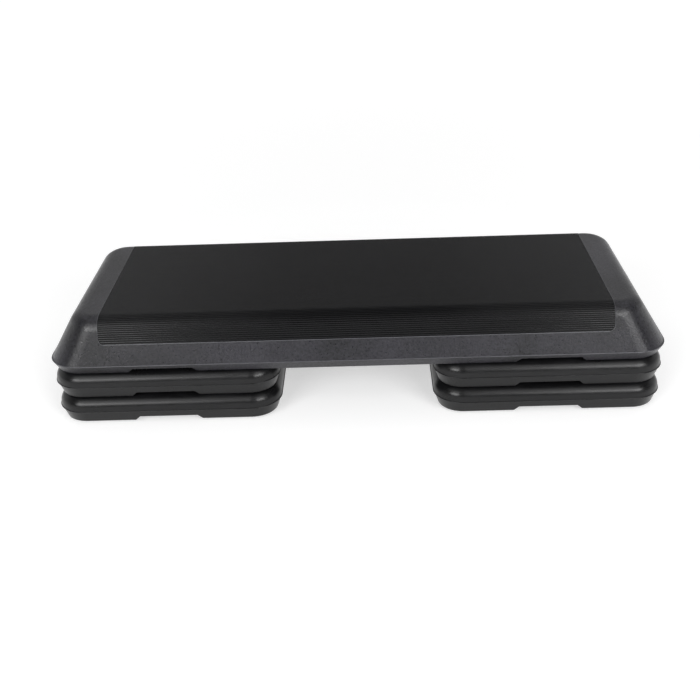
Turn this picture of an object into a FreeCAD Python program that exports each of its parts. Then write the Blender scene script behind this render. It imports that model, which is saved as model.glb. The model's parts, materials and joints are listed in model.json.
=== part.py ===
import FreeCAD, Part
import math
import os
import re
import Sketcher

# Aerobic step platform: a hollow deck with a ribbed mat, on two stacks of two square risers.
# Frame: millimetres, +Z up from the floor, +X along the deck, the front faces -Y, origin under the middle.

# Driving sizes in millimetres, one cell each
SIZES = {
    # Deck moulding
    "deck_length": 1100.0,
    "deck_depth": 412.0,
    "deck_height": 98.7,
    "deck_corner": 58.0,
    "deck_parting_height": 17.0,
    "deck_ledge": 1.0,
    "deck_lip_inset": 10.0,
    "deck_lip_edge_radius": 4.0,
    "deck_top_end_inset": 50.0,
    "deck_top_side_inset": 26.0,
    "deck_top_corner": 46.0,
    "deck_crease_radius": 30.0,
    "deck_wall": 4.0,
    "deck_post_base_radius": 34.0,
    "deck_post_tip_radius": 14.0,
    # Riser moulding
    "riser_length": 408.0,
    "riser_margin": 3.0,
    "riser_height": 49.5,
    "riser_corner": 53.0,
    "riser_parting_height": 24.0,
    "riser_step": 0.8,
    "riser_lip_inset": 9.0,
    "riser_lip_edge_radius": 4.0,
    "riser_top_inset": 3.0,
    "riser_top_corner": 50.0,
    "riser_crease_radius": 20.0,
    "riser_wall": 3.0,
    "riser_post_base_radius": 28.0,
    "riser_post_tip_radius": 16.0,
    "stack_gap": 0.5,
    # Finger notches in the bottom edges
    "notch_width": 125.0,
    "notch_side_run": 10.0,
    "notch_height": 10.0,
    "notch_reach": 30.0,
    # Push-in rubber feet and the sockets that take them
    "foot_radius": 18.0,
    "foot_stand": 4.0,
    "foot_seat_depth": 2.0,
    "foot_edge_radius": 1.0,
    "foot_stem_radius": 5.0,
    "foot_head_radius": 7.0,
    "foot_head_height": 5.0,
    "foot_head_tip_radius": 3.0,
    "foot_fit": 0.2,
    "foot_edge_distance": 75.0,
    "socket_clearance": 1.5,
    # Tread mat
    "mat_length": 902.0,
    "mat_drop": 43.2,
    "mat_corner": 10.0,
    "mat_bed_depth": 2.0,
    "mat_proud": 0.5,
    "mat_clearance": 0.3,
    "rib_pitch": 3.75,
    "groove_width": 1.5,
    "groove_depth": 1.0,
    # How far a cut runs past the face that it opens
    "overrun": 5.0,
}

# Sizes worked out from the driving sizes
WORKED = {
    "tier_pitch": "riser_height + stack_gap",
    "riser_depth": "deck_depth - 2 * riser_margin",
    "riser_centre": "deck_length / 2 - riser_margin - riser_length / 2",
    "deck_roof": "deck_wall + mat_bed_depth",
    "riser_roof": "riser_wall",
    "seat_radius": "foot_radius + foot_fit",
    "hole_radius": "foot_stem_radius + foot_fit",
    "socket_radius": "foot_radius + socket_clearance",
    "socket_depth": "foot_stand - stack_gap",
    "socket_boss_radius": "socket_radius + riser_wall",
    "socket_boss_reach": "socket_depth + riser_wall",
    "foot_from_middle": "riser_length / 2 - foot_edge_distance",
    "foot_from_centre_line": "riser_depth / 2 - foot_edge_distance",
    "foot_thickness": "foot_stand + foot_seat_depth",
    "mat_bottom_z": "foot_stand + deck_height - mat_drop",
    "mat_outline_height": "mat_drop + mat_proud + mat_corner + overrun",
    "mat_outline_z": "mat_bottom_z + mat_outline_height / 2",
    "bed_outline_length": "mat_length + 2 * mat_clearance",
    "bed_outline_height": "mat_outline_height + 2 * mat_clearance",
    "bed_outline_corner": "mat_corner + mat_clearance",
    "mat_sheet_depth": "deck_depth + 2 * overrun",
    "mat_sheet_length": "mat_length + 2 * overrun",
    "mat_bend_radius": "deck_crease_radius - mat_bed_depth",
    # The front slope of the deck, seen from the end, and the mat's bed below it
    "slope_run": "deck_top_side_inset - deck_ledge",
    "slope_drop": "deck_height - deck_parting_height",
    "slope_length": "sqrt(slope_run * slope_run + slope_drop * slope_drop)",
    "crease_y": "deck_depth / 2 - deck_top_side_inset",
    "bed_top_y": "crease_y - mat_bed_depth * (slope_length - slope_run) / slope_drop",
    "bed_top_z": "foot_stand + deck_height - mat_bed_depth",
    "bed_bottom_y": "deck_depth / 2 - deck_ledge - mat_bed_depth * slope_length / slope_drop",
    "notch_base_z": "foot_stand - overrun",
    "notch_half_width": "notch_width / 2",
    "notch_half_top": "notch_width / 2 - notch_side_run",
    "notch_top_z": "foot_stand + notch_height",
}

# Where the cones under the top wall stand, as shares of the moulding's length and depth
DECK_POST_SHARES = [(x, y) for x in (-0.312, -0.156, 0, 0.156, 0.312) for y in (-0.18, 0.18)]
RISER_POST_SHARES = [(0, 0), (-0.23, 0), (0.23, 0), (0, -0.23), (0, 0.23)]
POST_SHARES = {"deck": DECK_POST_SHARES, "riser": RISER_POST_SHARES}

# How far each level of a moulding stands in from its overall outline, at the ends and at the sides
INSETS = {
    "deck": {
        "base": ("deck_lip_inset", "deck_lip_inset"),
        "lip": ("0", "0"),
        "upper": ("deck_ledge", "deck_ledge"),
        "top": ("deck_top_end_inset", "deck_top_side_inset"),
    },
    "riser": {
        "base": ("riser_lip_inset", "riser_lip_inset"),
        "lip": ("riser_step", "riser_step"),
        "upper": ("0", "0"),
        "top": ("riser_top_inset", "riser_top_inset"),
    },
}

for part, levels in INSETS.items():
    WORKED[f"{part}_parting_z"] = f"foot_stand + {part}_parting_height"
    WORKED[f"{part}_shell_base_z"] = "foot_stand"
    WORKED[f"{part}_shell_top_z"] = f"foot_stand + {part}_height"
    WORKED[f"{part}_shell_crease"] = f"{part}_crease_radius"
    WORKED[f"{part}_core_base_z"] = f"foot_stand + {part}_wall"
    WORKED[f"{part}_core_top_z"] = f"foot_stand + {part}_height - {part}_roof"
    WORKED[f"{part}_core_crease"] = f"{part}_crease_radius - {part}_roof"
    for layer, skin in (("shell", "0"), ("core", f"{part}_wall")):
        for level, (end_inset, side_inset) in levels.items():
            outline = f"{part}_{layer}_{level}"
            corner = f"{part}_top_corner" if level == "top" else f"{part}_corner - {side_inset}"
            WORKED[f"{outline}_length"] = f"{part}_length - 2 * ({end_inset} + {skin})"
            WORKED[f"{outline}_depth"] = f"{part}_depth - 2 * ({side_inset} + {skin})"
            WORKED[f"{outline}_corner"] = f"{corner} - {skin}"
    WORKED[f"{part}_foot_seat_reach"] = f"foot_seat_depth + {part}_wall"
    WORKED[f"{part}_hole_reach"] = f"foot_seat_depth + {part}_wall + overrun"
    WORKED[f"{part}_seat_boss_radius"] = f"seat_radius + {part}_wall"
    WORKED[f"{part}_notch_house_half_width"] = f"notch_width / 2 + {part}_wall"
    WORKED[f"{part}_notch_house_half_top"] = f"notch_width / 2 - notch_side_run + {part}_wall"
    WORKED[f"{part}_notch_house_top_z"] = f"foot_stand + notch_height + {part}_wall"
    WORKED[f"{part}_notch_house_reach"] = f"notch_reach + {part}_wall"
    WORKED[f"{part}_front_y"] = f"{part}_depth / 2"
    WORKED[f"{part}_post_height"] = f"{part}_height - {part}_roof"
    WORKED[f"{part}_post_house_radius"] = f"{part}_post_base_radius + {part}_wall"
    WORKED[f"{part}_head_z"] = f"foot_thickness + {part}_wall + foot_fit"
    WORKED[f"{part}_head_top_z"] = f"foot_thickness + {part}_wall + foot_fit + foot_head_height"
    for place, (x_share, y_share) in enumerate(POST_SHARES[part]):
        WORKED[f"{part}_post_{place}_x"] = f"{part}_length * ({x_share})"
        WORKED[f"{part}_post_{place}_y"] = f"{part}_depth * ({y_share})"

for side, sign in (("left", "-"), ("right", "+")):
    WORKED[f"deck_foot_{side}_outer"] = f"{sign}(riser_centre + foot_from_middle)"
    WORKED[f"deck_foot_{side}_inner"] = f"{sign}(riser_centre - foot_from_middle)"

# Two lengths count as the same within this share of their size
SAME_SHARE = 1e-6

# The storeys of a stack of risers, from the floor up, with the deck on top of them
STOREYS = ("lower", "upper")
DECK_TIER = len(STOREYS)

doc = FreeCAD.newDocument("aerobic_step")
sheet = doc.addObject("Spreadsheet::Sheet", "sizes")
for row, (alias, size) in enumerate(SIZES.items(), 1):
    sheet.set(f"A{row}", alias)
    sheet.set(f"B{row}", str(size))
    sheet.setAlias(f"B{row}", alias)
doc.recompute()


def reference(formula):
    """Writes each size named in a formula as the document's own reference to it."""

    def full_name(found):
        name = found.group()
        if name in SIZES:
            return f"sizes.{name}"
        return f"worked.{name}" if name in WORKED else name

    return re.sub(r"[a-z]\w*", full_name, formula)


worked = doc.addObject("App::VarSet", "worked")
for name in WORKED:
    worked.addProperty("App::PropertyFloat", name)
for name, formula in WORKED.items():
    worked.setExpression(name, reference(formula))
doc.recompute()


def number(name):
    """The value of a named size, with a minus sign allowed before the name."""
    if name.startswith("-"):
        return -number(name[1:])
    return getattr(sheet if name in SIZES else worked, name) if name != "0" else 0.0


# Sketches

def new_body(name):
    return doc.addObject("PartDesign::Body", name)


def new_sketch(body, name, role="XY_Plane", **offsets):
    """A sketch on one of the body's own planes, moved along x, y or z by named sizes."""
    sketch = body.newObject("Sketcher::SketchObject", name)
    plane = next(feature for feature in body.Origin.OriginFeatures if feature.Role == role)
    sketch.AttachmentSupport = (plane, [""])
    sketch.MapMode = "FlatFace"
    for axis, size in offsets.items():
        sketch.setExpression(f"AttachmentOffset.Base.{axis}", reference(size))
    return sketch


def bind(sketch, kind, places, name):
    """Adds one dimension to a sketch and ties it to a named size."""
    index = sketch.addConstraint(Sketcher.Constraint(kind, *places, number(name)))
    sketch.setExpression(f"Constraints[{index}]", reference(name))


def place_point(sketch, geometry, point, x, y):
    """Fixes a point of a sketch at two named sizes from the sketch's origin."""
    for kind, name, axis in (("DistanceX", x, -2), ("DistanceY", y, -1)):
        if name == "0":
            sketch.addConstraint(Sketcher.Constraint("PointOnObject", geometry, point, axis))
        else:
            bind(sketch, kind, (-1, 1, geometry, point), name)


def draw_polygon(sketch, corners):
    """Draws a closed outline whose corners are pairs of named sizes."""
    places = [FreeCAD.Vector(number(x), number(y), 0) for x, y in corners]
    count = len(places)
    for index, start in enumerate(places):
        sketch.addGeometry(Part.LineSegment(start, places[(index + 1) % count]))
    for index, (x, y) in enumerate(corners):
        sketch.addConstraint(Sketcher.Constraint("Coincident", (index - 1) % count, 2, index, 1))
        place_point(sketch, index, 1, x, y)


def draw_circle(sketch, x, y, radius):
    """Draws a circle about a point given by two named sizes."""
    centre = FreeCAD.Vector(number(x), number(y), 0)
    index = sketch.addGeometry(Part.Circle(centre, FreeCAD.Vector(0, 0, 1), number(radius)))
    place_point(sketch, index, 3, x, y)
    bind(sketch, "Radius", (index,), radius)


def draw_rounded_rectangle(sketch, length, depth, corner):
    """Draws a rectangle with four round corners about the sketch's origin."""
    radius = number(corner)
    reach_x = number(length) / 2 - radius
    reach_y = number(depth) / 2 - radius
    quarter = math.pi / 2
    turns = [(1, -1), (1, 1), (-1, 1), (-1, -1)]
    centres = [FreeCAD.Vector(x * reach_x, y * reach_y, 0) for x, y in turns]
    outward = [FreeCAD.Vector(0, -radius, 0), FreeCAD.Vector(radius, 0, 0)]
    outward += [-direction for direction in outward]
    for index, centre in enumerate(centres):
        sketch.addGeometry(Part.LineSegment(centres[index - 1] + outward[index], centre + outward[index]))
    for index, centre in enumerate(centres):
        circle = Part.Circle(centre, FreeCAD.Vector(0, 0, 1), radius)
        sketch.addGeometry(Part.ArcOfCircle(circle, (index - 1) * quarter, index * quarter))
    for side in range(4):
        arc = side + 4
        sketch.addConstraint(Sketcher.Constraint("Tangent", side, 2, arc, 1))
        sketch.addConstraint(Sketcher.Constraint("Tangent", arc, 2, (side + 1) % 4, 1))
        sketch.addConstraint(Sketcher.Constraint("Vertical" if side % 2 else "Horizontal", side))
        if side:
            sketch.addConstraint(Sketcher.Constraint("Equal", 4, arc))
    sketch.addConstraint(Sketcher.Constraint("Symmetric", 4, 3, 6, 3, -1, 1))
    bind(sketch, "DistanceX", (3, 1, 1, 1), length)
    bind(sketch, "DistanceY", (0, 1, 2, 1), depth)
    bind(sketch, "Radius", (4,), corner)


# Features

def sunk(body, name, sketch, reach, reverse=False, taper=None):
    """Cuts a sketch into a body, away from the sketch's normal unless reversed, and checks that it cut."""
    before = body.Shape.Volume
    pocket = body.newObject("PartDesign::Pocket", name)
    pocket.Profile = sketch
    pocket.setExpression("Length", reference(reach))
    pocket.Reversed = reverse
    if taper:
        pocket.setExpression("TaperAngle", reference(taper))
    doc.recompute()
    if body.Shape.Volume >= before:
        raise ValueError(f"{name} cuts nothing")


def rounded_edges(body, name, height, radius):
    """Rounds every edge that lies at one height."""
    doc.recompute()
    level = number(height)
    tip = body.Tip
    edges = []
    for index, edge in enumerate(tip.Shape.Edges, 1):
        if all(math.isclose(vertex.Z, level, rel_tol=SAME_SHARE) for vertex in edge.Vertexes):
            edges.append(f"Edge{index}")
    fillet = body.newObject("PartDesign::Fillet", name)
    fillet.Base = (tip, edges)
    fillet.setExpression("Radius", reference(radius))
    doc.recompute()


def moulded_form(name, part, layer):
    """The outer shell of a moulding, or the hollow core inside it, without its details."""
    body = new_body(f"{name}_{layer}")

    def level_sketch(level, height):
        outline = f"{part}_{layer}_{level}"
        sketch = new_sketch(body, f"{name}_{layer}_{level}", z=height)
        draw_rounded_rectangle(sketch, f"{outline}_length", f"{outline}_depth", f"{outline}_corner")
        return sketch

    for half, near, far in (("upper", "upper", "top"), ("lip", "lip", "base")):
        profile = level_sketch(near, f"{part}_parting_z")
        section = level_sketch(far, f"{part}_{layer}_{far}_z")
        loft = body.newObject("PartDesign::AdditiveLoft", f"{name}_{layer}_{half}_loft")
        loft.Profile = profile
        loft.Sections = [section]
        loft.Ruled = True
    rounded_edges(body, f"{name}_{layer}_crease", f"{part}_{layer}_top_z", f"{part}_{layer}_crease")
    return body


def circles_sunk(body, name, places, radius, height, reach, reverse, taper=None):
    """Sinks a group of like round holes, from one height, into a body."""
    sketch = new_sketch(body, f"{name}_sketch", z=height)
    for x, y in places:
        draw_circle(sketch, x, y, radius)
    sunk(body, name, sketch, reach, reverse, taper)


def notches_sunk(body, name, part, middles, half_width, half_top, top, reach):
    """Cuts the finger notches into the front and back of a moulding's bottom edge."""
    corners = [("-" + half_width, "notch_base_z"), (half_width, "notch_base_z")]
    corners += [(half_width, f"{part}_shell_base_z"), (half_top, top)]
    corners += [("-" + half_top, top), ("-" + half_width, f"{part}_shell_base_z")]
    for index, middle in enumerate(middles):
        faces = (("front", f"{part}_front_y", False), ("back", f"-{part}_front_y", True))
        for side, front, reverse in faces:
            sketch = new_sketch(body, f"{name}_{side}_{index}_sketch", "XZ_Plane", x=middle, z=front)
            draw_polygon(sketch, corners)
            sunk(body, f"{name}_{side}_{index}", sketch, reach, reverse)


def moulding(name, part, foot_places, socket_places, notch_middles, bed=None):
    """A whole hollow moulding: the detailed shell less its core."""
    posts = [(f"{part}_post_{place}_x", f"{part}_post_{place}_y") for place in range(len(POST_SHARES[part]))]
    taper = f"-atan(({part}_post_base_radius - {part}_post_tip_radius) / {part}_post_height)"
    base = f"{part}_shell_base_z"
    top = f"{part}_shell_top_z"

    shell = moulded_form(name, part, "shell")
    rounded_edges(shell, f"{name}_lip_edge", base, f"{part}_lip_edge_radius")
    circles_sunk(shell, f"{name}_seats", foot_places, "seat_radius", base, "foot_seat_depth", True)
    circles_sunk(shell, f"{name}_holes", foot_places, "hole_radius", base, f"{part}_hole_reach", True)
    circles_sunk(
        shell, f"{name}_posts", posts, f"{part}_post_base_radius", base, f"{part}_post_height", True, taper
    )
    notches_sunk(
        shell, f"{name}_notch", part, notch_middles,
        "notch_half_width", "notch_half_top", "notch_top_z", "notch_reach",
    )

    core = moulded_form(name, part, "core")
    circles_sunk(
        core, f"{name}_seat_bosses", foot_places,
        f"{part}_seat_boss_radius", base, f"{part}_foot_seat_reach", True,
    )
    circles_sunk(
        core, f"{name}_post_houses", posts, f"{part}_post_house_radius", base, f"{part}_height", True, taper
    )
    notches_sunk(
        core, f"{name}_notch_house", part, notch_middles,
        f"{part}_notch_house_half_width", f"{part}_notch_house_half_top",
        f"{part}_notch_house_top_z", f"{part}_notch_house_reach",
    )
    if socket_places:
        circles_sunk(shell, f"{name}_sockets", socket_places, "socket_radius", top, "socket_depth", False)
        circles_sunk(
            core, f"{name}_socket_bosses", socket_places,
            "socket_boss_radius", top, "socket_boss_reach", False,
        )
    if bed:
        shell = boolean("Part::Cut", f"{name}_bedded", shell, bed)
    return boolean("Part::Cut", name, shell, core)


def boolean(kind, name, base, tool):
    result = doc.addObject(kind, name)
    result.Base = base
    result.Tool = tool
    result.Refine = False
    doc.recompute()
    return result


def stand(piece, x, y, tier):
    """Places a piece at named sizes along the floor, on one of the tiers counted from the floor."""
    piece.setExpression("Placement.Base.x", reference(x))
    piece.setExpression("Placement.Base.y", reference(y))
    piece.setExpression("Placement.Base.z", reference(f"{tier} * tier_pitch"))


# Pieces

nodes = []


def node(piece, label):
    piece.Label = label
    nodes.append(piece)
    return piece


def one_more(pattern, label):
    """One more piece like a pattern, with a place of its own."""
    piece = doc.addObject("App::Link", label)
    piece.LinkedObject = pattern
    return node(piece, label)


def rubber_foot(name, part):
    """A rubber pad with a stem through the moulding's wall and a head that holds it there."""
    body = new_body(name)
    sketch = new_sketch(body, f"{name}_profile", "XZ_Plane")
    head = f"{part}_head_z"
    head_top = f"{part}_head_top_z"
    corners = [("0", "0"), ("foot_radius", "0"), ("foot_radius", "foot_thickness")]
    corners += [("foot_stem_radius", "foot_thickness"), ("foot_stem_radius", head)]
    corners += [("foot_head_radius", head), ("foot_head_tip_radius", head_top), ("0", head_top)]
    draw_polygon(sketch, corners)
    turned = body.newObject("PartDesign::Revolution", f"{name}_turned")
    turned.Profile = sketch
    turned.ReferenceAxis = (sketch, ["V_Axis"])
    turned.Angle = 360
    doc.recompute()
    rim = [index for index, edge in enumerate(turned.Shape.Edges, 1) if at_rim(edge)]
    fillet = body.newObject("PartDesign::Fillet", f"{name}_rim")
    fillet.Base = (turned, [f"Edge{index}" for index in rim])
    fillet.setExpression("Radius", reference("foot_edge_radius"))
    doc.recompute()
    return body


def at_rim(edge):
    """Whether an edge is the round lower rim of a foot."""
    box = edge.BoundBox
    wide = math.isclose(box.XLength, 2 * number("foot_radius"), rel_tol=SAME_SHARE)
    return wide and box.ZMax < number("foot_stand")


def mat_outline(name, length, height, corner):
    """The mat's outline seen from the front, with round lower corners, run through the deck's depth."""
    body = new_body(name)
    sketch = new_sketch(body, f"{name}_sketch", "XZ_Plane", y="mat_outline_z")
    draw_rounded_rectangle(sketch, length, height, corner)
    pad = body.newObject("PartDesign::Pad", f"{name}_pad")
    pad.Profile = sketch
    pad.SideType = "Symmetric"
    pad.setExpression("Length", reference("mat_sheet_depth"))
    return body


def mat_bed():
    """The form that the mat lies on: the deck's top and slopes, sunk by the depth of the bed."""
    body = new_body("mat_bed")
    sketch = new_sketch(body, "mat_bed_sketch", "YZ_Plane")
    corners = [("-bed_bottom_y", "deck_parting_z"), ("bed_bottom_y", "deck_parting_z")]
    corners += [("bed_top_y", "bed_top_z"), ("-bed_top_y", "bed_top_z")]
    draw_polygon(sketch, corners)
    pad = body.newObject("PartDesign::Pad", "mat_bed_pad")
    pad.Profile = sketch
    pad.SideType = "Symmetric"
    pad.setExpression("Length", reference("mat_sheet_length"))
    doc.recompute()
    creases = []
    for index, edge in enumerate(pad.Shape.Edges, 1):
        along = math.isclose(edge.Length, number("mat_sheet_length"), rel_tol=SAME_SHARE)
        if along and math.isclose(edge.Vertexes[0].Z, number("bed_top_z"), rel_tol=SAME_SHARE):
            creases.append(f"Edge{index}")
    fillet = body.newObject("PartDesign::Fillet", "mat_bed_bend")
    fillet.Base = (pad, creases)
    fillet.setExpression("Radius", reference("mat_bend_radius"))
    doc.recompute()
    return body


def ribbed_sheet():
    """A sheet with ribs along the deck, over its top and down both slopes, as thick as the deck below it."""
    radius = number("deck_crease_radius")
    turn = math.acos(number("slope_run") / number("slope_length"))
    flat = number("crease_y") - radius * math.tan(turn / 2)
    bend = radius * turn
    top = number("deck_shell_top_z")
    slope = number("slope_length") - radius * math.tan(turn / 2)
    low = number("deck_parting_z")

    def surface_point(along, height):
        """A point above the deck's skin, a given way from the middle towards the back or front."""
        way = abs(along)
        if way <= flat:
            y, z = way, top + height
        elif way <= flat + bend:
            angle = (way - flat) / radius
            y = flat + (radius + height) * math.sin(angle)
            z = top - radius + (radius + height) * math.cos(angle)
        else:
            rest = way - flat - bend
            y = flat + (radius + height) * math.sin(turn) + rest * math.cos(turn)
            z = top - radius + (radius + height) * math.cos(turn) - rest * math.sin(turn)
        return FreeCAD.Vector(0, math.copysign(y, along), z)

    rib_top = number("mat_proud")
    groove_floor = rib_top - number("groove_depth")
    half_groove = number("groove_width") / 2
    pitch = number("rib_pitch")
    reach = flat + bend + slope
    count = int((reach - half_groove) / pitch)
    outline = [surface_point(-reach, rib_top)]
    for groove in range(-count, count + 1):
        middle = groove * pitch
        for step, height in ((-1, rib_top), (-1, groove_floor), (1, groove_floor), (1, rib_top)):
            outline.append(surface_point(middle + step * half_groove, height))
    outline.append(surface_point(reach, rib_top))
    outline.append(FreeCAD.Vector(0, 0, low))
    outline.append(outline[0])
    length = number("mat_sheet_length")
    face = Part.Face(Part.makePolygon(outline))
    ribbed = doc.addObject("Part::Feature", "ribbed_sheet")
    ribbed.Shape = face.extrude(FreeCAD.Vector(length, 0, 0))
    ribbed.Placement = FreeCAD.Placement(FreeCAD.Vector(-length / 2, 0, 0), FreeCAD.Rotation())
    return ribbed


# Deck with its mat and feet

bed = mat_bed()
bed_outline = mat_outline("bed_outline", "bed_outline_length", "bed_outline_height", "bed_outline_corner")
bed_tool = boolean("Part::Cut", "bed_tool", bed_outline, bed)
foot_rows = {"front": "-foot_from_centre_line", "back": "foot_from_centre_line"}
deck_feet = {}
for side in ("left", "right"):
    for place in ("outer", "inner"):
        column = f"deck_foot_{side}_{place}"
        for row, y in foot_rows.items():
            deck_feet[f"{column}_{row}"] = (column, y)
notch_middles = ["-riser_centre", "riser_centre"]
deck = moulding("deck_shell", "deck", list(deck_feet.values()), [], notch_middles, bed_tool)
stand(node(deck, "deck_shell"), "0", "0", DECK_TIER)

sheet_above_bed = boolean("Part::Cut", "sheet_above_bed", ribbed_sheet(), bed)
outline = mat_outline("mat_outline", "mat_length", "mat_outline_height", "mat_corner")
mat = boolean("Part::Common", "tread_mat", sheet_above_bed, outline)
stand(node(mat, "tread_mat"), "0", "0", DECK_TIER)

deck_foot = rubber_foot("deck_foot", "deck")
for label, (x, y) in deck_feet.items():
    stand(one_more(deck_foot, label), x, y, DECK_TIER)

# Risers with their feet, two stacks of two

riser_feet = {}
for column, x in (("left", "-foot_from_middle"), ("right", "foot_from_middle")):
    for row, y in foot_rows.items():
        riser_feet[f"{row}_{column}"] = (x, y)
riser_places = list(riser_feet.values())
riser = moulding("riser", "riser", riser_places, riser_places, ["0"])
riser_foot = rubber_foot("riser_foot", "riser")
for side, middle in (("left", "-riser_centre"), ("right", "riser_centre")):
    for tier, storey in enumerate(STOREYS):
        label = f"{storey}_{side}_riser"
        stand(one_more(riser, label), middle, "0", tier)
        for place, (x, y) in riser_feet.items():
            stand(one_more(riser_foot, f"{label}_foot_{place}"), f"{middle} + {x}", y, tier)

doc.recompute()

# Every object must be sound before anything is written
for item in doc.Objects:
    if "Invalid" in item.State or "Error" in item.State:
        raise ValueError(f"{item.Name} failed: {item.State}")
for piece in nodes:
    if piece.Shape.isNull() or not piece.Shape.isValid() or len(piece.Shape.Solids) != 1:
        raise ValueError(f"{piece.Label} is not one sound solid")

os.makedirs("parts", exist_ok=True)
for piece in nodes:
    piece.Shape.exportStep(os.path.join("parts", f"{piece.Label}.step"))
    print(f"{piece.Label:40s} {piece.Shape.Volume / 1000:9.1f} cm3")
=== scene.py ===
# %% [markdown]
# # Aerobic step platform
# A step for exercise classes: a hollow grey deck with a ribbed black mat, on two stacks of two black risers.
# The CAD model is loaded first as a fixed frame, in metres, with the floor at z = 0 and the front facing -Y.
# The shapes of the mouldings are already right there, so this lesson is about the mat, the small trim
# and the finishes.

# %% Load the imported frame
import json
import math

import bmesh
import bpy
from mathutils import Matrix, Vector


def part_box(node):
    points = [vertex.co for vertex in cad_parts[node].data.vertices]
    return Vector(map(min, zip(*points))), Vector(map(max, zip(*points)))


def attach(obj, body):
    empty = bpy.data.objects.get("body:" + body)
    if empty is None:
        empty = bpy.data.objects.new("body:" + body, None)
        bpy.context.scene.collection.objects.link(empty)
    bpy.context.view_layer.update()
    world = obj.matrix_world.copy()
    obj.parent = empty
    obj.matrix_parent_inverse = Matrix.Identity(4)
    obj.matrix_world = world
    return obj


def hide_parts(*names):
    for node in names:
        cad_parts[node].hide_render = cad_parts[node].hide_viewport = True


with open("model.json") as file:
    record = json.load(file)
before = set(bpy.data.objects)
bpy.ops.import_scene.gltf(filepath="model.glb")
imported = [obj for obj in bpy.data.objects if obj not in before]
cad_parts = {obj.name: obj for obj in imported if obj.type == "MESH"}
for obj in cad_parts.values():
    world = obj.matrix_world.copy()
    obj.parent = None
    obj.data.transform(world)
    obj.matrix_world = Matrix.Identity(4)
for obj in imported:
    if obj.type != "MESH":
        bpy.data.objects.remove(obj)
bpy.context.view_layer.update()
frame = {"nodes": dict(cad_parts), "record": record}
scene = bpy.context.scene
MM = 0.001


def in_mm(lengths, digits=1):
    """Lengths, or the coordinates of a point, in rounded millimetres."""
    return [round(length / MM, digits) for length in lengths]


# %% [markdown]
# ## Tools of the bench
# Each piece is modelled as by hand: a primitive, then edit-mode operators on faces or edges that are picked
# by their place. An operator works on all that is selected, so the first helper clears the selection before
# anything is added, and the second one picks faces, edges or vertices by a test on their middle.

# %% Helpers for selecting
TOUCH = 0.01 * MM


def clear_selection():
    """Leaves edit mode and deselects everything."""
    if bpy.context.object and bpy.context.object.mode != "OBJECT":
        bpy.ops.object.mode_set(mode="OBJECT")
    bpy.ops.object.select_all(action="DESELECT")


def pick(kind, test):
    """In edit mode, selects the VERT, EDGE or FACE parts whose middle point passes a test."""
    bpy.ops.mesh.select_mode(type=kind)
    bpy.ops.mesh.select_all(action="DESELECT")
    mesh = bpy.context.object.data
    shape = bmesh.from_edit_mesh(mesh)
    for part in {"VERT": shape.verts, "EDGE": shape.edges, "FACE": shape.faces}[kind]:
        corners = [part.co] if kind == "VERT" else [corner.co for corner in part.verts]
        part.select_set(test(sum(corners, Vector()) / len(corners)))
    shape.select_flush_mode()
    bmesh.update_edit_mesh(mesh)


def close(a, b):
    """Whether two lengths are the same to a hundredth of a millimetre."""
    return abs(a - b) < TOUCH


# %% [markdown]
# ## The line over the deck
# Seen from its end, the deck's skin runs up the front slope, round the soft front edge, over the flat top
# and down the back. The mat follows that line, so it is drawn once as a wire: a vertex is extruded along
# the straight runs and spun round the two soft edges. The wire then becomes a curve that flat things can be
# bent along.

# %% Work out the deck's skin line
DECK_TOP = 202.7 * MM
CREASE_Y = 180 * MM
CREASE_RADIUS = 30 * MM
SLOPE_RUN = 25 * MM
SLOPE_DROP = 81.7 * MM
RIB_PITCH = 3.75 * MM
RIB_COUNT = 118

slope_turn = math.acos(SLOPE_RUN / math.hypot(SLOPE_RUN, SLOPE_DROP))
flat_half = CREASE_Y - CREASE_RADIUS * math.tan(slope_turn / 2)
bend_length = CREASE_RADIUS * slope_turn
line_half = RIB_PITCH * RIB_COUNT / 2
slope_length = line_half - flat_half - bend_length
slope_y = slope_length * math.cos(slope_turn)
slope_z = slope_length * math.sin(slope_turn)
bend_y = flat_half + CREASE_RADIUS * math.sin(slope_turn)
bend_z = DECK_TOP - CREASE_RADIUS * (1 - math.cos(slope_turn))
crease_z = DECK_TOP - CREASE_RADIUS
print("half of the line in mm, flat, bend and slope:", in_mm((flat_half, bend_length, slope_length)))

# %% Draw the line
CREASE_STEPS = 24
QUARTER_TURN = math.radians(90)

clear_selection()
bpy.ops.mesh.primitive_plane_add(size=MM, location=(0, -bend_y - slope_y, bend_z - slope_z))
bpy.ops.object.transform_apply(location=True, rotation=True, scale=True)
bpy.ops.object.mode_set(mode="EDIT")
bpy.ops.mesh.merge(type="CENTER")
bpy.ops.mesh.extrude_region_move(TRANSFORM_OT_translate={"value": (0, slope_y, slope_z)})
bpy.ops.mesh.spin(steps=CREASE_STEPS, angle=slope_turn, center=(0, -flat_half, crease_z), axis=(1, 0, 0))
bpy.ops.mesh.extrude_region_move(TRANSFORM_OT_translate={"value": (0, 2 * flat_half, 0)})
bpy.ops.mesh.spin(steps=CREASE_STEPS, angle=slope_turn, center=(0, flat_half, crease_z), axis=(1, 0, 0))
bpy.ops.mesh.extrude_region_move(TRANSFORM_OT_translate={"value": (0, slope_y, -slope_z)})
bpy.ops.object.mode_set(mode="OBJECT")
bpy.ops.object.convert(target="CURVE")
skin_line = bpy.context.object
skin_line.data.twist_mode = "Z_UP"
points = skin_line.data.splines[0].points
# Bending along Y takes X for up, so the line is turned a quarter about itself.
for point in points:
    point.tilt = QUARTER_TURN
print("skin line:", len(points), "points from", in_mm(points[0].co[:3]), "to", in_mm(points[-1].co[:3]))

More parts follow.
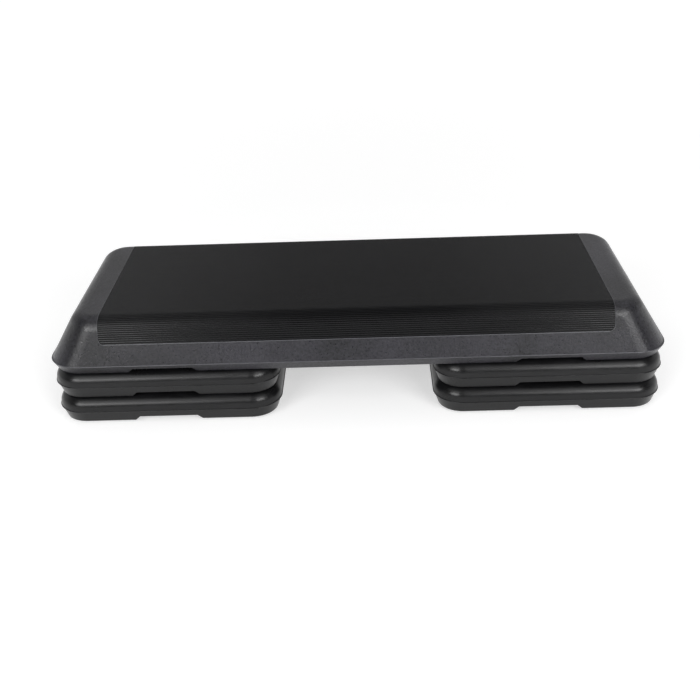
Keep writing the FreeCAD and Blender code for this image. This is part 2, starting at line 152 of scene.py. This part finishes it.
# %% [markdown]
# ## Ribbed tread mat
# The mat is a sheet of black rubber with more than a hundred ribs along the deck, so that a shoe can't slip
# off its edge. One rib is modelled on a strip as wide as the rib pitch: the strip's top is cut in three,
# the middle is raised, its crown is domed a little and its edges are rounded, so that each rib catches the
# light as a line of its own. An Array repeats the strip, a Curve modifier bends the flat sheet over the
# deck, and a Boolean trims it to its outline, which has four round corners on the slopes.

# %% One rib on its strip
MAT_LENGTH = 902 * MM
MAT_SPARE = 20 * MM
MAT_BASE = 2.0 * MM
RIB_TOP = 0.5 * MM
GROOVE_DEPTH = 1.0 * MM
GROOVE_WIDTH = 1.5 * MM

groove_floor = RIB_TOP - GROOVE_DEPTH
strip_height = groove_floor + MAT_BASE
rib_middle = RIB_PITCH / 2
rib_half = (RIB_PITCH - GROOVE_WIDTH) / 2

clear_selection()
bpy.ops.mesh.primitive_cube_add(size=1, location=(0, rib_middle, groove_floor - strip_height / 2))
tread = bpy.context.object
tread.scale = (MAT_LENGTH + MAT_SPARE, RIB_PITCH, strip_height)
bpy.ops.object.transform_apply(location=True, rotation=True, scale=True)
bpy.ops.object.mode_set(mode="EDIT")
pick("FACE", lambda at: close(at.y, 0) or close(at.y, RIB_PITCH))
bpy.ops.mesh.delete(type="FACE")
for side in (-1, 1):
    pick("FACE", lambda at: close(at.z, groove_floor))
    bpy.ops.mesh.bisect(plane_co=(0, rib_middle + side * rib_half, 0), plane_no=(0, 1, 0))
pick("FACE", lambda at: close(at.z, groove_floor) and close(at.y, rib_middle))
bpy.ops.mesh.extrude_region_move(TRANSFORM_OT_translate={"value": (0, 0, GROOVE_DEPTH)})
print("square rib in mm, pitch, width and height:", in_mm((RIB_PITCH, 2 * rib_half, GROOVE_DEPTH), 2))

# %% Dome the crown and round its edges
CROWN_DROP = 0.22 * MM
CROWN_ROWS = 4
RIB_ROUND = 0.25 * MM
ROUND_STEPS = 4

rows = [rib_middle + rib_half * step / CROWN_ROWS for step in range(-CROWN_ROWS, CROWN_ROWS + 1)]
for row in rows[1:-1]:
    pick("FACE", lambda at: close(at.z, RIB_TOP))
    bpy.ops.mesh.bisect(plane_co=(0, row, 0), plane_no=(0, 1, 0))
for row in rows:
    pick("VERT", lambda at: close(at.z, RIB_TOP) and close(at.y, row))
    drop = CROWN_DROP * ((row - rib_middle) / rib_half) ** 2
    bpy.ops.transform.translate(value=(0, 0, -drop))
pick("EDGE", lambda at: close(at.z, RIB_TOP - CROWN_DROP) and close(abs(at.y - rib_middle), rib_half))
bpy.ops.mesh.bevel(offset=RIB_ROUND, segments=ROUND_STEPS, affect="EDGES")
bpy.ops.object.mode_set(mode="OBJECT")
print("one rib:", len(tread.data.polygons), "faces")

# %% Mark how far up the rib each face corner is
# The mark is kept on the corners of faces, because trimming with a Boolean loses what is kept on points.
height_mark = tread.data.attributes.new("rib_height", "FLOAT", "CORNER")
for corner in tread.data.loops:
    height = tread.data.vertices[corner.vertex_index].co.z - groove_floor
    height_mark.data[corner.index].value = max(0.0, height / GROOVE_DEPTH)
print("marks on", len(height_mark.data), "face corners")

# %% Repeat the rib, close the sheet's edges and bend it over the deck


def apply_modifier(piece, kind, **settings):
    """Adds one modifier to a piece with its settings, and applies it."""
    bpy.context.view_layer.objects.active = piece
    modifier = piece.modifiers.new(kind.title(), kind)
    for name, value in settings.items():
        setattr(modifier, name, value)
    bpy.ops.object.modifier_apply(modifier=modifier.name)


apply_modifier(
    tread, "ARRAY", count=RIB_COUNT, use_relative_offset=False, use_constant_offset=True,
    constant_offset_displace=(0, RIB_PITCH, 0), use_merge_vertices=True, merge_threshold=TOUCH,
)
bpy.ops.object.mode_set(mode="EDIT")
bpy.ops.mesh.select_all(action="SELECT")
bpy.ops.mesh.fill_holes(sides=0)
bpy.ops.mesh.normals_make_consistent(inside=False)
bpy.ops.object.mode_set(mode="OBJECT")
apply_modifier(tread, "CURVE", object=skin_line, deform_axis="POS_Y")
print("bent sheet in mm:", in_mm(tread.dimensions))

# %% Trim the mat to its outline
MAT_LOW = 159.5 * MM
MAT_CORNER = 10 * MM
CORNER_STEPS = 10
OUTLINE_HEIGHT = 60 * MM
OUTLINE_DEPTH = 500 * MM

clear_selection()
bpy.ops.mesh.primitive_cube_add(size=1, location=(0, 0, MAT_LOW + OUTLINE_HEIGHT / 2))
outline = bpy.context.object
outline.scale = (MAT_LENGTH, OUTLINE_DEPTH, OUTLINE_HEIGHT)
bpy.ops.object.transform_apply(location=True, rotation=True, scale=True)
bpy.ops.object.mode_set(mode="EDIT")
pick("EDGE", lambda at: close(at.z, MAT_LOW) and close(at.y, 0))
bpy.ops.mesh.bevel(offset=MAT_CORNER, segments=CORNER_STEPS, affect="EDGES")
bpy.ops.object.mode_set(mode="OBJECT")
apply_modifier(tread, "BOOLEAN", operation="INTERSECT", object=outline, solver="EXACT")
bpy.data.objects.remove(outline)
print("trimmed mat:", len(tread.data.polygons), "faces")

# %% Name the mat and let it ride on the deck


def finish_piece(piece, name, body, smooth_angle=35):
    """Names a piece, smooths its soft edges and lets it ride on a body of the frame."""
    clear_selection()
    piece.name = piece.data.name = name
    piece.select_set(True)
    bpy.context.view_layer.objects.active = piece
    bpy.ops.object.transform_apply(location=True, rotation=True, scale=True)
    bpy.ops.object.shade_smooth_by_angle(angle=math.radians(smooth_angle))
    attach(piece, body)
    print(f"{name}: {len(piece.data.polygons)} faces")


finish_piece(tread, "ribbed_tread", "deck")
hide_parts("tread_mat")
cad_low, cad_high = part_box("tread_mat")
print("mat in the CAD, mm:", in_mm(cad_low, 2), in_mm(cad_high, 2))
print("mat here, mm:", in_mm(tread.bound_box[0], 2), in_mm(tread.bound_box[6], 2))

# %% [markdown]
# ## Rim of the mat's bed
# The mat lies in a shallow bed in the deck, and the moulding has a fine raised lip round it.
# It is the thin bright line under the mat in the photograph, and the paler grey that it is given further
# down is a painted highlight. A flat loop with four round corners is bent along the same line as the mat,
# and becomes a thin round bead, half sunk in the deck's skin.

# %% Helpers for thin round beads


def corner_loop(middle, width, depth, corner, steps):
    """A wire in the shape of a rectangle with round corners, left in edit mode."""
    clear_selection()
    bpy.ops.mesh.primitive_plane_add(size=1, location=middle)
    loop = bpy.context.object
    loop.scale = (width, depth, 1)
    bpy.ops.object.transform_apply(location=True, rotation=True, scale=True)
    bpy.ops.object.mode_set(mode="EDIT")
    bpy.ops.mesh.select_all(action="SELECT")
    bpy.ops.mesh.bevel(offset=corner, segments=steps, affect="VERTICES")
    bpy.ops.mesh.select_mode(type="FACE")
    bpy.ops.mesh.select_all(action="SELECT")
    bpy.ops.mesh.delete(type="ONLY_FACE")
    return loop


def round_section(wire, radius, resolution):
    """Gives the active curve a round section, and makes it a mesh with a closed seam."""
    wire.data.bevel_depth = radius
    wire.data.bevel_resolution = resolution
    bpy.ops.object.convert(target="MESH")
    bpy.ops.object.mode_set(mode="EDIT")
    bpy.ops.mesh.select_all(action="SELECT")
    bpy.ops.mesh.remove_doubles(threshold=TOUCH)
    bpy.ops.mesh.normals_make_consistent(inside=False)
    bpy.ops.object.mode_set(mode="OBJECT")


# %% Bend a loop over the deck and give it a round section
BED_GAP = 0.3 * MM
RIM_RADIUS = 0.4 * MM
FRONT_RIM_RADIUS = 0.8 * MM
FRONT_SPARE = 0.5 * MM
END_CUTS = 100
FINE_CUTS = 2
FINE_REACH = 210 * MM

rim_low = (bend_z - MAT_LOW + BED_GAP) / math.sin(slope_turn) + FRONT_RIM_RADIUS
rim_half = flat_half + bend_length + rim_low
rim = corner_loop(
    (0, line_half, RIB_TOP - RIM_RADIUS), MAT_LENGTH + 2 * (BED_GAP + RIM_RADIUS), 2 * rim_half,
    MAT_CORNER + BED_GAP + RIM_RADIUS, CORNER_STEPS,
)
pick("EDGE", lambda at: close(at.y, line_half))
bpy.ops.mesh.subdivide(number_cuts=END_CUTS)
pick("EDGE", lambda at: abs(at.y - line_half) < FINE_REACH)
bpy.ops.mesh.subdivide(number_cuts=FINE_CUTS)
bpy.ops.object.mode_set(mode="OBJECT")
apply_modifier(rim, "CURVE", object=skin_line, deform_axis="POS_Y")
bpy.ops.object.convert(target="CURVE")
for point in rim.data.splines[0].points:
    if abs(point.co.x) < MAT_LENGTH / 2 - MAT_CORNER + FRONT_SPARE:
        point.radius = FRONT_RIM_RADIUS / RIM_RADIUS
round_section(rim, RIM_RADIUS, resolution=2)
finish_piece(rim, "mat_bed_rim", "deck", smooth_angle=60)
bpy.data.objects.remove(skin_line)

# %% [markdown]
# ## Parting beads
# A blow-moulded shell is pressed shut between two halves of a mould, and a fine bead of plastic stays where
# they meet. It runs round the deck and round each riser. A loop with four round corners is laid at the
# parting height and given a small round section, half sunk in the wall, so that its upper side is dark and
# its front catches the light.

# %% Lay a bead round each moulding
# The deck's bead is given the same paler grey as the mat's rim further down: a painted highlight.
BEAD_RADIUS = 0.9 * MM
BEAD_STEPS = 24
DECK_PARTING = 17 * MM
DECK_CORNER = 58 * MM
RISER_PARTING = 24 * MM
RISER_CORNER = 53 * MM


def parting_bead(name, low, high, height, corner, body):
    """A thin round bead at one height round a box with round corners, given by its low and high sides."""
    middle = ((low.x + high.x) / 2, (low.y + high.y) / 2, height)
    bead = corner_loop(middle, high.x - low.x, high.y - low.y, corner, BEAD_STEPS)
    bpy.ops.object.mode_set(mode="OBJECT")
    bpy.ops.object.convert(target="CURVE")
    round_section(bead, BEAD_RADIUS, resolution=3)
    finish_piece(bead, name, body, smooth_angle=60)
    return bead


inset = Vector((BEAD_RADIUS, BEAD_RADIUS, 0))
low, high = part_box("deck_shell")
deck_bead = parting_bead(
    "deck_parting_bead", low + inset, high - inset, low.z + DECK_PARTING + BEAD_RADIUS / 2,
    DECK_CORNER - BEAD_RADIUS, "deck",
)
riser_names = [name for name in sorted(frame["nodes"]) if name.endswith("_riser")]
riser_beads = []
for name in riser_names:
    low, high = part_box(name)
    riser_beads.append(parting_bead(
        f"{name}_parting_bead", low, high, low.z + RISER_PARTING,
        RISER_CORNER, name.removesuffix("_riser"),
    ))

# %% [markdown]
# ## Push-in rubber feet
# Every riser stands on four rubber feet, and the deck on eight. Each has a flat pad with grip rings below,
# and a stem with a barbed head that is pushed through the wall above it.
# One foot is modelled from a cylinder: insets sink the rings, and extrusions raise the stem and the head.

# %% Model one foot
FOOT_RADIUS = 18 * MM
FOOT_HEIGHT = 6 * MM
FOOT_SIDES = 48
FOOT_EDGE = 1 * MM
FOOT_EDGE_STEPS = 3
RING_COUNT = 3
RING_WIDTH = 1.6 * MM
RING_DEPTH = 0.8 * MM
STEM_RADIUS = 5 * MM
HEAD_RADIUS = 7 * MM
HEAD_TIP_RADIUS = 3 * MM
HEAD_HEIGHT = 5 * MM
WALL_FIT = 0.2 * MM


def rubber_foot(wall):
    """A foot about the origin, standing on z = 0, for a wall of a given thickness."""
    clear_selection()
    bpy.ops.mesh.primitive_cylinder_add(
        vertices=FOOT_SIDES, radius=FOOT_RADIUS, depth=FOOT_HEIGHT, location=(0, 0, FOOT_HEIGHT / 2)
    )
    foot = bpy.context.object
    bpy.ops.object.transform_apply(location=True, rotation=True, scale=True)
    bpy.ops.object.mode_set(mode="EDIT")
    pick("EDGE", lambda at: close(at.z, 0))
    bpy.ops.mesh.bevel(offset=FOOT_EDGE, segments=FOOT_EDGE_STEPS, affect="EDGES")
    pick("FACE", lambda at: close(at.z, 0))
    for ring in range(RING_COUNT):
        bpy.ops.mesh.inset(thickness=RING_WIDTH, depth=0)
        bpy.ops.mesh.inset(thickness=RING_WIDTH / 4, depth=-RING_DEPTH)
        bpy.ops.mesh.inset(thickness=RING_WIDTH / 2, depth=0)
        bpy.ops.mesh.inset(thickness=RING_WIDTH / 4, depth=RING_DEPTH)
    pick("FACE", lambda at: close(at.z, FOOT_HEIGHT) and at.xy.length < MM)
    for radius, rise in (
        (STEM_RADIUS, 0), (STEM_RADIUS, wall + WALL_FIT), (HEAD_RADIUS, 0), (HEAD_TIP_RADIUS, HEAD_HEIGHT)
    ):
        shape = bmesh.from_edit_mesh(foot.data)
        width = max(corner.co.xy.length for corner in shape.verts if corner.select)
        bpy.ops.mesh.extrude_region_move(TRANSFORM_OT_translate={"value": (0, 0, rise)})
        bpy.ops.transform.resize(value=(radius / width, radius / width, 1), center_override=(0, 0, 0))
    bpy.ops.object.mode_set(mode="OBJECT")
    return foot


DECK_WALL = 4 * MM
RISER_WALL = 3 * MM
patterns = {"deck": rubber_foot(DECK_WALL), "riser": rubber_foot(RISER_WALL)}
for kind, pattern in patterns.items():
    print(f"foot for the {kind}, mm:", in_mm(pattern.dimensions))

# %% Put a copy of the foot where each foot of the frame is
bodies = frame["record"]["behaviour"]["bodies"]
body_of = {name: body for body, names in bodies.items() for name in names}
feet = []
for name in sorted(frame["nodes"]):
    if "_foot_" not in name:
        continue
    low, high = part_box(name)
    pattern = patterns["riser" if "riser" in name else "deck"]
    foot = pattern.copy()
    foot.data = pattern.data.copy()
    scene.collection.objects.link(foot)
    foot.location = ((low.x + high.x) / 2, (low.y + high.y) / 2, low.z)
    finish_piece(foot, name.replace("_foot_", "_grip_"), body_of[name], smooth_angle=30)
    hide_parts(name)
    feet.append(foot)
for pattern in patterns.values():
    bpy.data.objects.remove(pattern)
print(len(feet), "feet")

# %% [markdown]
# ## Finishes
# Every finish is procedural and reads Object coordinates in metres, so that a pattern has a real size.
# Colours are written as sRGB hex values, as they would be picked from a colour card, and one function makes
# them linear. A second function adds a node: its settings, and for each input a value or the output that
# feeds it.

# %% Helpers for materials


def linear(code):
    """An sRGB hex colour as the linear colour that a shader works with."""
    parts = [int(code[place:place + 2], 16) / 255 for place in (1, 3, 5)]
    return (*[c / 12.92 if c <= 0.04045 else ((c + 0.055) / 1.055) ** 2.4 for c in parts], 1)


def add_node(tree, kind, feeds, **settings):
    """Adds one node, with its settings, and a value or an output for each input that is named."""
    made = tree.nodes.new("ShaderNode" + kind)
    for name, value in settings.items():
        setattr(made, name, value)
    for name, value in feeds.items():
        if isinstance(value, bpy.types.NodeSocket):
            tree.links.new(value, made.inputs[name])
        else:
            made.inputs[name].default_value = value
    return made


def new_finish(name):
    """A new material with an empty tree and the output that its shader goes to."""
    finish = bpy.data.materials.new(name)
    finish.use_nodes = True
    finish.node_tree.nodes.clear()
    return finish, finish.node_tree, add_node(finish.node_tree, "OutputMaterial", {})


# %% [markdown]
# ## Grey deck plastic
# The deck is polyethylene, blown into a lightly etched mould, so its skin is satin with a fine pebble grain.
# Noise at the size of the grain drives the bump and the gloss, a second one speckles the colour,
# and a slow one clouds it, because one flat grey would look like paper.

# %% Etched grey polyethylene
# A low sheen that breaks up into fine specks. The real grain is under a millimetre wide.
# It is drawn wider here, so that it still shows in the picture.
DECK_GRAIN = 3.2 * MM
DECK_SPECKLE = 4.5 * MM
DECK_CLOUD = 140 * MM
DECK_RELIEF = 0.35 * MM

deck_finish, tree, output = new_finish("etched_grey_polyethylene")
place = add_node(tree, "TexCoord", {}).outputs["Object"]
grain = add_node(
    tree, "TexNoise", {"Vector": place, "Scale": 1 / DECK_GRAIN, "Detail": 3.0, "Roughness": 0.6}
)
speckle = add_node(
    tree, "TexNoise", {"Vector": place, "Scale": 1 / DECK_SPECKLE, "Detail": 2.0, "Roughness": 0.6}
)
cloud = add_node(tree, "TexNoise", {"Vector": place, "Scale": 1 / DECK_CLOUD, "Detail": 2.0})
shade = add_node(tree, "Math", {0: speckle.outputs["Fac"], 1: cloud.outputs["Fac"]}, operation="ADD")
share = add_node(tree, "MapRange", {"Value": shade.outputs[0], "From Min": 0.75, "From Max": 1.25})
colour = add_node(
    tree, "Mix", {0: share.outputs[0], 6: linear("#0f0f12"), 7: linear("#2d2c32")}, data_type="RGBA"
)
gloss = add_node(
    tree, "MapRange",
    {"Value": grain.outputs["Fac"], "From Min": 0.35, "From Max": 0.65, "To Min": 0.27, "To Max": 0.41},
)
relief = add_node(
    tree, "Bump", {"Height": grain.outputs["Fac"], "Strength": 1.0, "Distance": DECK_RELIEF}
)
shader = add_node(
    tree, "BsdfPrincipled",
    {
        "Base Color": colour.outputs[2], "Roughness": gloss.outputs[0], "Normal": relief.outputs[0],
        "IOR": 1.51, "Specular IOR Level": 0.48,
    },
)
tree.links.new(shader.outputs[0], output.inputs[0])
print(deck_finish.name, "has", len(tree.nodes), "nodes")

# %% [markdown]
# ## Pale edges of the deck, a painted highlight
# The raised lip and the parting bead are given a lighter grey than the deck, which paints a highlight along
# them. Two greys are mixed in patches by noise about as wide as a thumb.

# %% Pale grey polyethylene, a painted highlight
# A painted highlight: paler and smoother than the skin beside it, so the fine edges read as thin bright
# lines.
PALE_PATCH = 25 * MM

edge_highlight_finish, tree, output = new_finish("pale_highlight_grey_polyethylene")
place = add_node(tree, "TexCoord", {}).outputs["Object"]
patch = add_node(tree, "TexNoise", {"Vector": place, "Scale": 1 / PALE_PATCH, "Detail": 3.0})
colour = add_node(
    tree, "Mix", {0: patch.outputs["Fac"], 6: linear("#3f3f42"), 7: linear("#5f5f64")}, data_type="RGBA"
)
shader = add_node(
    tree, "BsdfPrincipled",
    {"Base Color": colour.outputs[2], "Roughness": 0.3, "IOR": 1.51, "Specular IOR Level": 0.48},
)
tree.links.new(shader.outputs[0], output.inputs[0])
print(edge_highlight_finish.name, "has", len(tree.nodes), "nodes")

# %% [markdown]
# ## Black riser plastic
# The risers are the same plastic in black, from a smoother mould, and they are dragged over each other and
# the floor. Noise stretched along the floor gives fine rub marks in colour and gloss, and a small bump keeps
# the highlights soft.

# %% Smooth black polyethylene
# Clear soft highlights along the round edges. Dust takes the shine down, so the specular level is under
# the usual half.
RISER_GRAIN = 2.0 * MM
RISER_MARK = 6 * MM
RISER_RELIEF = 0.2 * MM
MARK_STRETCH = (0.12, 0.12, 1)

riser_finish, tree, output = new_finish("smooth_black_polyethylene")
place = add_node(tree, "TexCoord", {}).outputs["Object"]
grain = add_node(tree, "TexNoise", {"Vector": place, "Scale": 1 / RISER_GRAIN, "Detail": 2.0})
drawn = add_node(tree, "Mapping", {"Vector": place, "Scale": MARK_STRETCH})
marks = add_node(
    tree, "TexNoise",
    {"Vector": drawn.outputs[0], "Scale": 1 / RISER_MARK, "Detail": 4.0, "Roughness": 0.6},
)
share = add_node(tree, "MapRange", {"Value": marks.outputs["Fac"], "From Min": 0.45, "From Max": 0.75})
colour = add_node(
    tree, "Mix", {0: share.outputs[0], 6: linear("#0f0f10"), 7: linear("#19191b")}, data_type="RGBA"
)
gloss = add_node(
    tree, "MapRange",
    {"Value": marks.outputs["Fac"], "From Min": 0.3, "From Max": 0.7, "To Min": 0.26, "To Max": 0.34},
)
relief = add_node(
    tree, "Bump", {"Height": grain.outputs["Fac"], "Strength": 0.06, "Distance": RISER_RELIEF}
)
shader = add_node(
    tree, "BsdfPrincipled",
    {
        "Base Color": colour.outputs[2], "Roughness": gloss.outputs[0], "Normal": relief.outputs[0],
        "IOR": 1.51, "Specular IOR Level": 0.34,
    },
)
tree.links.new(shader.outputs[0], output.inputs[0])
print(riser_finish.name, "has", len(tree.nodes), "nodes")

# %% [markdown]
# ## Black tread rubber
# The mat is moulded styrene rubber, nearly black. Shoes wear the tops of the ribs paler, and the grooves are
# painted darker as shade, so the colour follows the height attribute that was kept while the rib was
# modelled, times streaks along the ribs.

# %% Moulded tread rubber
# A sheen on the crown of each rib, with faint streaks along the deck, and grooves that dust has made matt.
TREAD_SPECK = 1.5 * MM
TREAD_STREAK = 6 * MM
TREAD_RELIEF = 0.15 * MM
STREAK_STRETCH = (0.03, 1, 1)

tread_finish, tree, output = new_finish("moulded_tread_rubber")
place = add_node(tree, "TexCoord", {}).outputs["Object"]
rib_height = add_node(tree, "Attribute", {}, attribute_name="rib_height")
speck = add_node(tree, "TexNoise", {"Vector": place, "Scale": 1 / TREAD_SPECK, "Detail": 2.0})
drawn = add_node(tree, "Mapping", {"Vector": place, "Scale": STREAK_STRETCH})
streak = add_node(tree, "TexNoise", {"Vector": drawn.outputs[0], "Scale": 1 / TREAD_STREAK, "Detail": 3.0})
worn_and_shaded = add_node(tree, "Math", {0: rib_height.outputs["Fac"], 1: streak.outputs["Fac"]}, operation="MULTIPLY")
# Paler towards the rib tops as wear, and darker down in the grooves as painted shade.
colour = add_node(
    tree, "Mix", {0: worn_and_shaded.outputs[0], 6: linear("#070709"), 7: linear("#111112")}, data_type="RGBA"
)
crown = add_node(
    tree, "MapRange",
    {"Value": streak.outputs["Fac"], "From Min": 0.3, "From Max": 0.7, "To Min": 0.1, "To Max": 0.18},
)
gloss = add_node(
    tree, "MapRange",
    {
        "Value": rib_height.outputs["Fac"], "From Min": 0.3, "From Max": 0.7,
        "To Min": 0.6, "To Max": crown.outputs[0],
    },
)
relief = add_node(
    tree, "Bump", {"Height": speck.outputs["Fac"], "Strength": 0.15, "Distance": TREAD_RELIEF}
)
shader = add_node(
    tree, "BsdfPrincipled",
    {
        "Base Color": colour.outputs[2], "Roughness": gloss.outputs[0], "Normal": relief.outputs[0],
        "IOR": 1.52, "Specular IOR Level": 0.23,
    },
)
tree.links.new(shader.outputs[0], output.inputs[0])
print(tread_finish.name, "has", len(tree.nodes), "nodes")

# %% [markdown]
# ## Foot rubber
# The feet are soft thermoplastic rubber, matt, with a pale bloom on the skin that comes with age.
# They hardly show, so one noise for the bloom and its bump is enough.

# %% Soft foot rubber
# Matt and a little cloudy, paler than the mat.
FOOT_BLOOM = 5 * MM
FOOT_RELIEF = 0.2 * MM

foot_finish, tree, output = new_finish("soft_foot_rubber")
place = add_node(tree, "TexCoord", {}).outputs["Object"]
bloom = add_node(tree, "TexNoise", {"Vector": place, "Scale": 1 / FOOT_BLOOM, "Detail": 4.0})
colour = add_node(
    tree, "Mix", {0: bloom.outputs["Fac"], 6: linear("#262627"), 7: linear("#444447")}, data_type="RGBA"
)
relief = add_node(tree, "Bump", {"Height": bloom.outputs["Fac"], "Strength": 0.1, "Distance": FOOT_RELIEF})
shader = add_node(
    tree, "BsdfPrincipled",
    {"Base Color": colour.outputs[2], "Roughness": 0.7, "Normal": relief.outputs[0], "IOR": 1.5},
)
tree.links.new(shader.outputs[0], output.inputs[0])
print(foot_finish.name, "has", len(tree.nodes), "nodes")

# %% [markdown]
# ## Dressing
# Each finish now goes on its pieces. The shells of the CAD model have material slots already, and only what
# is in the slots is changed, because their meshes stay as they are. A new piece without a slot gets one.

# %% Dress the pieces
for finish, pieces in (
    (deck_finish, [frame["nodes"]["deck_shell"]]),
    # The mat's rim and the deck's parting bead get the paler grey: a painted highlight.
    (edge_highlight_finish, [rim, deck_bead]),
    (tread_finish, [tread]),
    (riser_finish, [frame["nodes"][name] for name in riser_names] + riser_beads),
    (foot_finish, feet),
):
    for piece in pieces:
        if piece.material_slots:
            for held in piece.material_slots:
                held.material = finish
        else:
            piece.data.materials.append(finish)
    print(f"{finish.name} on {len(pieces)} pieces")

# %% [markdown]
# ## Floor
# The photograph is a cut-out on white. Here the step stands on a plain pale floor, which keeps its shadow.
# The camera, reflections and clear things see the floor a little lighter than it lights the step, through
# Light Path. Far from the step, where less light falls, this lift is stronger, so that the picture has no
# grey edge.

# %% Floor
FLOOR_SIDE = 40
FLOOR_NEAR = 1
FLOOR_FAR = 4
NEAR_LIFT = 0.5
FAR_LIFT = 0.85
WHITE = (1, 1, 1, 1)

clear_selection()
bpy.ops.mesh.primitive_plane_add(size=FLOOR_SIDE)
floor = bpy.context.object
floor.name = "floor"
floor_finish, tree, output = new_finish("pale_floor")
place = add_node(tree, "TexCoord", {}).outputs["Object"]
away = add_node(tree, "VectorMath", {0: place}, operation="LENGTH")
far = add_node(
    tree, "MapRange",
    {
        "Value": away.outputs["Value"], "From Min": FLOOR_NEAR, "From Max": FLOOR_FAR,
        "To Min": NEAR_LIFT, "To Max": FAR_LIFT,
    },
)
matt = add_node(tree, "BsdfDiffuse", {"Color": linear("#d6d6d6")})
path = add_node(tree, "LightPath", {}).outputs
seen = add_node(tree, "Math", {0: path["Is Camera Ray"], 1: path["Is Glossy Ray"]}, operation="ADD")
seen = add_node(tree, "Math", {0: seen.outputs[0], 1: path["Is Transmission Ray"]}, operation="ADD")
lift = add_node(tree, "Math", {0: seen.outputs[0], 1: far.outputs[0]}, operation="MULTIPLY")
glow = add_node(tree, "Emission", {"Color": WHITE, "Strength": lift.outputs[0]})
both = add_node(tree, "AddShader", {0: matt.outputs[0], 1: glow.outputs[0]})
tree.links.new(both.outputs[0], output.inputs[0])
floor.data.materials.append(floor_finish)
print("floor:", FLOOR_SIDE, "m square")

# %% [markdown]
# ## Light
# The photograph has a bright spot beside each front corner of the mat and a darker middle, so two soft boxes
# stand left and right of the camera, each with a weaker one above it, because the spots fade slowly upwards.
# Two ceiling panels light the deck's soft edge towards its ends, and a weak panel beside each end lights the
# corners. A weak broad sun comes from behind and above, and the room is pale behind the step and dark in
# front and above. Together they give a plain level, at which a grey card on the top looks as it is.

# %% The room
PALE_SIDE = (0, 1, -0.9)
ROOM_FRONT = 0.035
ROOM_BACK = 0.51

world = bpy.data.worlds.new("studio")
scene.world = world
world.use_nodes = True
tree = world.node_tree
direction = add_node(tree, "TexCoord", {}).outputs["Generated"]
toward = add_node(tree, "VectorMath", {0: direction, 1: PALE_SIDE}, operation="DOT_PRODUCT")
level = add_node(
    tree, "MapRange",
    {
        "Value": toward.outputs["Value"], "From Min": -0.6, "From Max": 0.1,
        "To Min": ROOM_FRONT, "To Max": ROOM_BACK,
    },
)
tree.links.new(level.outputs[0], tree.nodes["Background"].inputs["Strength"])
tree.nodes["Background"].inputs["Color"].default_value = WHITE
print("room from", ROOM_FRONT, "in front to", ROOM_BACK, "behind")

# %% The lamps
STEP_MIDDLE = (0, 0, 0.12)
SUN_PLACE = (0.2, 2.2, 2.2)
SUN_POWER = 0.35
SUN_ANGLE = math.radians(40)


def lamp(name, kind, place, aim, power, **settings):
    """A lamp at a place, facing a point."""
    light = bpy.data.lights.new(name, kind)
    light.energy = power
    for setting, value in settings.items():
        setattr(light, setting, value)
    item = bpy.data.objects.new(name, light)
    scene.collection.objects.link(item)
    item.location = place
    item.rotation_euler = (Vector(aim) - Vector(place)).to_track_quat("-Z", "Y").to_euler()
    return item


key = lamp("key", "SUN", SUN_PLACE, (0, 0, 0), SUN_POWER, angle=SUN_ANGLE)
key.visible_glossy = False
# Each kind has its place on the right in metres, its watts on the left and on the right, and its size.
for kind, (x, y, z), powers, width, height in (
    ("box", (2.42, -3.93, 2.1), (116, 122), 2.5, 1.65),
    ("upper_box", (1.92, -3.12, 3.53), (25, 25), 2.5, 1.6),
    ("panel", (3, 0.2, 0.9), (3.6, 3.6), 2.4, 1.8),
    ("ceiling", (1.5, -0.7, 3), (15.4, 15.4), 2, 4),
):
    for side, hand, power in ((-1, "left", powers[0]), (1, "right", powers[1])):
        aim = (side * x, y, 0) if kind == "ceiling" else STEP_MIDDLE
        lamp(
            f"{hand}_{kind}", "AREA", (side * x, y, z), aim, power,
            shape="RECTANGLE", size=width, size_y=height,
        )
    print(f"two lamps of the kind {kind}, {width} x {height} m, in watts:", powers)

# %% [markdown]
# ## Camera
# The picture was taken from in front, a little to the right and from above, and leans by about two degrees.
# The numbers were fitted until the corners of the deck and the risers fell on those in the
# photograph.

# %% Camera
VIEW_TURN = math.radians(1.44)
VIEW_RISE = math.radians(27.383)
VIEW_ROLL = math.radians(-2.232)
VIEW_DISTANCE = 2.0152
VIEW_AIM = Vector((-0.0149, 0, 0.03568))
PICTURE_SIDE = 700
FOCAL_PIXELS = 1023.9
SENSOR_WIDTH = 36
VIEW_END = 100

back = Vector((
    math.sin(VIEW_TURN) * math.cos(VIEW_RISE),
    -math.cos(VIEW_TURN) * math.cos(VIEW_RISE),
    math.sin(VIEW_RISE),
))
level_right = (-back).cross(Vector((0, 0, 1))).normalized()
level_up = level_right.cross(-back)
right = level_right * math.cos(VIEW_ROLL) + level_up * math.sin(VIEW_ROLL)
up = level_up * math.cos(VIEW_ROLL) - level_right * math.sin(VIEW_ROLL)
eye = VIEW_AIM + back * VIEW_DISTANCE
camera = bpy.data.objects.new("camera", bpy.data.cameras.new("camera"))
scene.collection.objects.link(camera)
camera.data.sensor_width = SENSOR_WIDTH
camera.data.lens = FOCAL_PIXELS / PICTURE_SIDE * SENSOR_WIDTH
camera.data.clip_end = VIEW_END
camera.matrix_world = Matrix((
    (right.x, up.x, back.x, eye.x),
    (right.y, up.y, back.y, eye.y),
    (right.z, up.z, back.z, eye.z),
    (0, 0, 0, 1),
))
scene.camera = camera
scene.view_settings.view_transform = "Standard"
print("camera at, mm:", in_mm(eye), "lens, mm:", round(camera.data.lens, 1))
